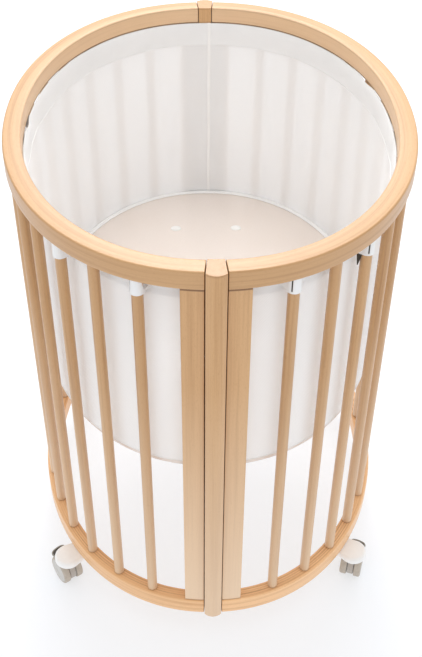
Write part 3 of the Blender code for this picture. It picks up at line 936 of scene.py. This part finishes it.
def make_strap(place, cloth, shade_sheet):
    """Fabric loop that ties the liner to a spindle, right under the top rail, and the near-black
    strip of painted shade that shows where the loop closes."""
    middle = spindle_middle(place)
    normal = outward(middle)
    along = Vector((-normal.y, normal.x))
    away = 1.0 if along.dot(Vector((middle.x, -middle.y))) > 0 else -1.0
    path = strap_columns(away, GAPING_STRAPS.get(place, 0.0))
    runs = run_lengths([spot[:2] for spot in path])
    columns, grain = [], []
    for run, (shift, out, high_part, low_part, _) in zip(runs, path):
        column, fibres = [], []
        for row in range(STRAP_ROWS + 1):
            down = STRAP_HEIGHT * (high_part + (low_part - high_part) * row / STRAP_ROWS)
            lip = STRAP_LIP * (row / STRAP_ROWS) ** 4
            spot = middle + along * shift * (1.0 + lip / STRAP_RADIUS)
            spot += normal * (out + lip * max(0.0, out) / STRAP_RADIUS)
            column.append((*spot, STRAP_TOP - down))
            fibres.append((run, down, 0.0))
        columns.append(column)
        grain.append(fibres)
    cuts = [min(here[-1], there[-1]) for here, there in zip(path, path[1:])]
    pieces = [sewn_strip(f"liner_strap_{place}", columns, grain, cloth, cuts),
              make_slit_shade(f"strap_tape_{place}", middle, normal, along, shade_sheet)]
    if place in GAP_SHADE_HANG:
        pieces.append(make_gap_shade(f"strap_tape_end_{place}", middle, normal, along * -away,
                                    GAP_SHADE_HANG[place], shade_sheet))
    return pieces


def make_slit_shade(name, middle, normal, along, material):
    """Near-black strip on the spindle, under the slit of a strap: painted shade in the slit."""
    steps = 6
    columns, grain = [], []
    for k in range(steps + 1):
        turn = STRAP_SLIT + 1.5 * STRAP_SLIT_HALF * (2.0 * k / steps - 1.0)
        spot = middle + SLIT_SHADE_RADIUS * (along * math.sin(turn) + normal * math.cos(turn))
        columns.append([(*spot, STRAP_TOP), (*spot, STRAP_TOP - SLIT_SHADE_HEIGHT)])
        grain.append([(SLIT_SHADE_RADIUS * turn, 0.0, 0.0), (SLIT_SHADE_RADIUS * turn, SLIT_SHADE_HEIGHT, 0.0)])
    return sewn_strip(name, columns, grain, material)


def make_gap_shade(name, middle, normal, towards_post, hang, material):
    """Near-black flap that hangs between a gaping strap's spindle and the liner: painted shade in
    the gap.
    """
    near = middle + towards_post * GAP_SHADE_TOWARDS_POST[0] - normal * GAP_SHADE_INWARDS[0]
    far = middle + towards_post * GAP_SHADE_TOWARDS_POST[1] - normal * GAP_SHADE_INWARDS[1]
    rows = 10
    columns, grain = [], []
    for row in range(rows + 1):
        down = hang * row / rows
        narrow = max(0.0, 1.0 - (1.0 - row / rows) / GAP_SHADE_NARROWS)
        sides = (0.62 * narrow, 1.0 - 0.28 * narrow)
        columns.append([(*near.lerp(far, side), STRAP_TOP - down) for side in sides])
        grain.append([(side * GAP_SHADE_WIDTH, down, 0.0) for side in sides])
    return sewn_strip(name, columns, grain, material)


def make_liner():
    liner = Liner()
    cloth = woven("liner_woven", (0.925, 0.928, 0.930, 1.0))
    bright = woven("liner_edging", (0.980, 0.975, 0.965, 1.0), pitch=0.0008)
    # Greyed copy of the cloth for the top edging: painted shade under the top rail.
    shaded_edging = woven("liner_top_fold_shaded", (0.760, 0.745, 0.720, 1.0), pitch=0.0008)
    # Near-black cloth: painted shade in the strap slits and gaps.
    shade_sheet = woven("strap_painted_shade", (0.050, 0.040, 0.028, 1.0), pitch=0.0009)
    rows = [(LINER_HEIGHT * k / LINER_ROWS, 0.0) for k in range(LINER_ROWS + 1)]
    wall = liner.cloth("liner_mesh", rows, open_mesh("liner_open_mesh"))
    band_profile = fold_profile(BAND_FOLD, BAND_HEIGHT, BAND_HALF_THICKNESS)
    pieces = [
        liner.cloth("liner_band", band_profile, cloth),
        liner.ring("liner_band_stitch", BAND_HEIGHT, STITCH_OFFSET, STITCH_RADIUS, bright),
        liner.ring("liner_top_edging", TOP_EDGING_DOWN, 0.0, TOP_EDGING_RADIUS, shaded_edging),
        make_seam(liner, bright),
        liner.ring("liner_hem", LINER_HEIGHT - HEM_RADIUS, 0.0, HEM_RADIUS, bright),
    ]
    for place in STRAPPED_SPINDLES:
        pieces += make_strap(place, cloth, shade_sheet)
    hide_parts("mesh_liner")


# ---- board


def oval_rings(levels):
    """Rings of the oval for (inset, height) levels."""
    angles, _ = even_loop(BOARD_INSET, BOARD_STEPS, 0.0)
    return [[(*plan_point(angle, inset), z) for angle in angles[:-1]] for inset, z in levels]


def make_board():
    rounding = BOARD_ROUNDING
    levels = []
    for start, height in ((270.0, BOARD_LOW + rounding), (0.0, BOARD_TOP - rounding)):
        for k in range(5):
            turn = math.radians(start + 90.0 * k / 4)
            inset = BOARD_INSET + rounding - rounding * math.cos(turn)
            levels.append((inset, height + rounding * math.sin(turn)))
    board = skin("board_panel", oval_rings(levels), caps=True)
    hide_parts("mattress_board")
    dress(board, laminate("board_laminate"))
    make_piping()
    white = plastic("plug_plastic", (0.960, 0.950, 0.925, 1.0), 0.30)
    for side, sign_x in SIDES:
        make_plug(f"board_plug_{side}", sign_x * PLUG_X, white)


def make_piping():
    """White edging sewn along the rim of the board, where the liner meets it."""
    levels = [(PIPING_INSET + PIPING_WIDTH / 2 * (1.0 - across),
               BOARD_TOP + PIPING_RAISED + PIPING_THICKNESS / 2 * up)
              for across, up in circle(1.0, 16)]
    rings = oval_rings(levels)
    piping = skin("board_piping", rings, grain=rings, looped=True)
    dress(piping, woven("board_piping", (0.990, 0.985, 0.975, 1.0), 0.0010))


def make_plug(name, x, material):
    """Oval plug: a low dome with a shallow rim, pressed into the board."""
    profile = [(1.00, -0.0010), (1.00, 0.5 * PLUG_HEIGHT), (0.93, PLUG_HEIGHT),
               (0.84, PLUG_HEIGHT), (0.78, 0.75 * PLUG_HEIGHT), (0.40, 0.95 * PLUG_HEIGHT),
               (0.05, PLUG_HEIGHT)]
    plug = turned(name, profile)
    oval = Matrix.Diagonal((PLUG_HALF_WIDTH, PLUG_HALF_LENGTH, 1.0, 1.0))
    plug.data.transform(Matrix.Translation((x, PLUG_Y, BOARD_TOP)) @ oval)
    dress(plug, material)


# ---- casters


def joint_named(name):
    return next(joint for joint in frame["joints"] if joint["name"] == name)


def mount_outline():
    """Round end about the origin and an arm towards -X."""
    steps = 40
    turns = [ARM_START * (2 * k / steps - 1) for k in range(steps + 1)]
    round_end = [(DRUM_RADIUS * math.cos(turn), DRUM_RADIUS * math.sin(turn)) for turn in turns]
    return round_end + [(-ARM_LENGTH, ARM_HALF_WIDTH), (-ARM_LENGTH, -ARM_HALF_WIDTH)]


def make_mount(name, material):
    """White drum over the caster, with an arm under the rail."""
    node = f"caster_mount_{name}"
    low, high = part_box(node)
    axis = Vector(joint_named(f"caster_swivel_{name}")["pos_m"])
    normal = outward(axis)
    turn = Matrix.Rotation(math.atan2(normal.y, normal.x), 4, "Z")
    mount = skin(f"drum_{name}", upright_rings(mount_outline(), (low.z, high.z)), caps=True)
    mount.data.transform(Matrix.Translation((axis.x, axis.y, 0.0)) @ turn)
    add_bevel(mount, DRUM_ROUNDING, 8)
    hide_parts(node)
    dress(mount, material)


def make_wheel(name, side, sign, tyre_material, hub_material):
    """Tyre and hub of one wheel, both turned about the axle."""
    joint = joint_named(f"wheel_spin_{name}_{side}")
    centre, axle = Vector(joint["pos_m"]), Vector(joint["axis"]).normalized() * sign
    half, radius = WHEEL_HALF_WIDTH, WHEEL_RADIUS
    rim = radius - TYRE_DEPTH
    tyre_profile = [(rim, -half + 0.0006), (radius - 0.0012, -half + 0.0004),
                    (radius, -half + 0.0016), (radius, half - 0.0036),
                    (radius - 0.0005, half - 0.0021), (radius - 0.0015, half - 0.0009),
                    (radius - 0.0030, half - 0.0001), (rim, half - 0.0006)]
    hub_profile = [(rim, -half), (rim, half - 0.0008), (rim - 0.0008, half - 0.0001),
                   (0.0120, half), (0.0062, half - 0.0002), (0.0056, half - 0.0006),
                   (0.0002, half - 0.0004)]
    move = Matrix.Translation(centre + axle * (WHEEL_INNER_FACE + half))
    turn = Vector((0.0, 0.0, 1.0)).rotation_difference(axle).to_matrix().to_4x4()
    for part, profile, material, slot in (
        ("tyre", tyre_profile, tyre_material, "wheel_rubber"),
        ("hub", hub_profile, hub_material, "grey_plastic"),
    ):
        piece = turned(f"{part}_{name}_{side}", profile, 56)
        piece.data.transform(move @ turn)
        if part == "tyre":
            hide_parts(f"caster_wheel_{name}_{side}")
        dress(piece, material, f"wheel_{name}_{side}")


def pedal_outline(shrink):
    """Outline of a pedal about the swivel axis, with Y away from it: a straight shoulder, and a
    round tip with round corners. shrink moves it inwards."""
    reach, half, corner = (size - shrink for size in (PEDAL_REACH, PEDAL_HALF_WIDTH, PEDAL_CORNER))
    corner_y = math.sqrt((reach - corner) ** 2 - (half - corner) ** 2)
    lean = math.atan2(half - corner, corner_y)
    steps = 8
    right = [(half, PEDAL_START + shrink)]
    for k in range(steps + 1):
        turn = (math.pi / 2 - lean) * k / steps
        right.append((half - corner + corner * math.cos(turn), corner_y + corner * math.sin(turn)))
    for k in range(1, steps + 1):
        turn = lean * (1.0 - k / steps)
        right.append((reach * math.sin(turn), reach * math.cos(turn)))
    return right + [(-x, y) for x, y in reversed(right[:-1])]


def pedal_skin(name, levels):
    """Mesh object through pedal outlines at (shrink, height) levels."""
    rings = [[(x, y, z) for x, y in pedal_outline(shrink)] for shrink, z in levels]
    return skin(name, rings, caps=True)


def make_pedal(name, rim_material, shade_material):
    """Brake pedal: a shallow tray with a raised rim round a near-black pad, which is painted
    shade.
    """
    node = f"brake_pedal_{name}"
    low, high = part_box(node)
    swivel = Vector(joint_named(f"caster_swivel_{name}")["pos_m"])
    away = Vector(joint_named(f"brake_tip_{name}")["pos_m"]) - swivel
    turn = Matrix.Rotation(math.atan2(away.y, away.x) - math.pi / 2, 4, "Z")
    move = Matrix.Translation((swivel.x, swivel.y, 0.0)) @ turn
    rim, floor_z = PEDAL_RIM, high.z - 0.0010
    shell = pedal_skin(f"pedal_shell_{name}", (
        (0.0006, low.z), (0.0, low.z + 0.0006), (0.0, high.z - 0.0005), (0.0005, high.z),
        (rim - 0.0004, high.z), (rim, floor_z)))
    shade_pad = pedal_skin(f"pedal_pad_{name}", (
        (rim + 0.0002, floor_z + 0.0001), (rim + 0.0002, floor_z + 0.0004),
        (rim + 0.0006, floor_z + 0.0006)))
    for piece, material in ((shell, rim_material), (shade_pad, shade_material)):
        piece.data.transform(move)
        dress(piece, material, f"pedal_{name}")
    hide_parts(node)


def make_casters():
    white = plastic("drum_plastic", (0.975, 0.970, 0.960, 1.0), 0.42)
    grey = plastic("yoke_plastic", (0.500, 0.455, 0.410, 1.0), 0.42)
    pale = plastic("hub_plastic", (0.600, 0.580, 0.545, 1.0), 0.36)
    rim = plastic("pedal_rim_plastic", (0.330, 0.310, 0.265, 1.0), 0.42)
    # Near-black plastic for the painted shade inside the pedals.
    dark = plastic("pedal_shade_plastic", (0.060, 0.050, 0.038, 1.0), 0.50)
    tread = rubber("tyre_rubber")
    for name in CASTER_NAMES:
        make_mount(name, white)
        paint(frame["nodes"][f"caster_yoke_{name}"], grey)
        for side, sign in SIDES:
            make_wheel(name, side, sign, tread, pale)
    for name in ("front_left", "front_right"):
        make_pedal(name, rim, dark)


# ---- brackets


def make_brackets():
    steel = zinc("bracket_steel")
    for end, sign_y in ENDS:
        node = f"board_bracket_{end}"
        paint(frame["nodes"][node], steel)
        low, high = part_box(node)
        for side, sign_x in SIDES:
            for level, part in SCREW_LEVELS:
                z = low.z + part * (high.z - low.z)
                make_screw(f"bracket_screw_{end}_{side}_{level}", sign_x, sign_y, z, steel)


def make_screw(name, sign_x, sign_y, z, material):
    """Round-head screw with a socket, on the inner face of a bracket."""
    profile = [(0.0044, 0.0), (0.0044, 0.0008), (0.0036, 0.0021), (0.0021, 0.0026),
               (0.0019, 0.0026), (0.0019, 0.0010), (0.0001, 0.0008)]
    screw = turned(name, profile, 24)
    x, y = plan_point(front_angle_at(SCREW_ACROSS, BRACKET_FACE_INSET), BRACKET_FACE_INSET)
    face = Vector((sign_x * x, -sign_y * y, z))
    turn = Vector((0.0, 0.0, 1.0)).rotation_difference(-outward(face).to_3d())
    screw.data.transform(Matrix.Translation(face) @ turn.to_matrix().to_4x4())
    dress(screw, material)


# ---- floor, light and camera


def make_floor():
    bpy.ops.mesh.primitive_plane_add(size=FLOOR_SIZE, location=FLOOR_MIDDLE)
    floor = bpy.context.object
    floor.name = "studio_floor"
    material, tree, shader = new_material("studio_floor")
    clouds = noise(tree, own_place(tree), 0.8)
    tone = mixed(tree, clouds, (0.425, 0.450, 0.490, 1.0), (0.410, 0.435, 0.475, 1.0))
    set_inputs(tree, shader, {"Base Color": tone, "Roughness": 0.8, "Emission Color": WHITE,
                              "Emission Strength": FLOOR_GLOW})
    floor.data.materials.append(material)


def add_area_light(name, place, aim, size, power):
    light = bpy.data.lights.new(name, "AREA")
    light.shape = "RECTANGLE"
    light.size, light.size_y = size
    light.energy = power
    lamp = new_object(name, light)
    lamp.location = place
    direction = Vector(aim) - Vector(place)
    lamp.rotation_euler = direction.to_track_quat("-Z", "Y").to_euler()


def make_light():
    world = bpy.data.worlds.new("studio")
    bpy.context.scene.world = world
    world.use_nodes = True
    tree = world.node_tree
    up = split(tree, add(tree, "TexCoord").outputs["Generated"])[2]
    strength = fit_range(tree, up, 0.0, 1.0, *SKY_STRENGTH)
    set_inputs(tree, tree.nodes["Background"], {"Color": WHITE, "Strength": strength})
    for name, settings in AREA_LIGHTS.items():
        add_area_light(name, *settings)
    bpy.context.scene.view_settings.view_transform = "Standard"


def make_camera():
    camera = new_object("camera", bpy.data.cameras.new("camera"))
    yaw = Matrix.Rotation(-CAMERA_YAW, 4, "Z")
    pitch = Matrix.Rotation(math.pi / 2 - CAMERA_PITCH, 4, "X")
    roll = Matrix.Rotation(-CAMERA_ROLL, 4, "Z")
    camera.matrix_world = Matrix.Translation(CAMERA_PLACE) @ yaw @ pitch @ roll
    camera.data.lens = LENS
    camera.data.sensor_width = SENSOR
    camera.data.shift_y = SHIFT_UP
    bpy.context.scene.camera = camera


make_wood()
make_liner()
make_board()
make_casters()
make_brackets()
make_floor()
make_light()
make_camera()
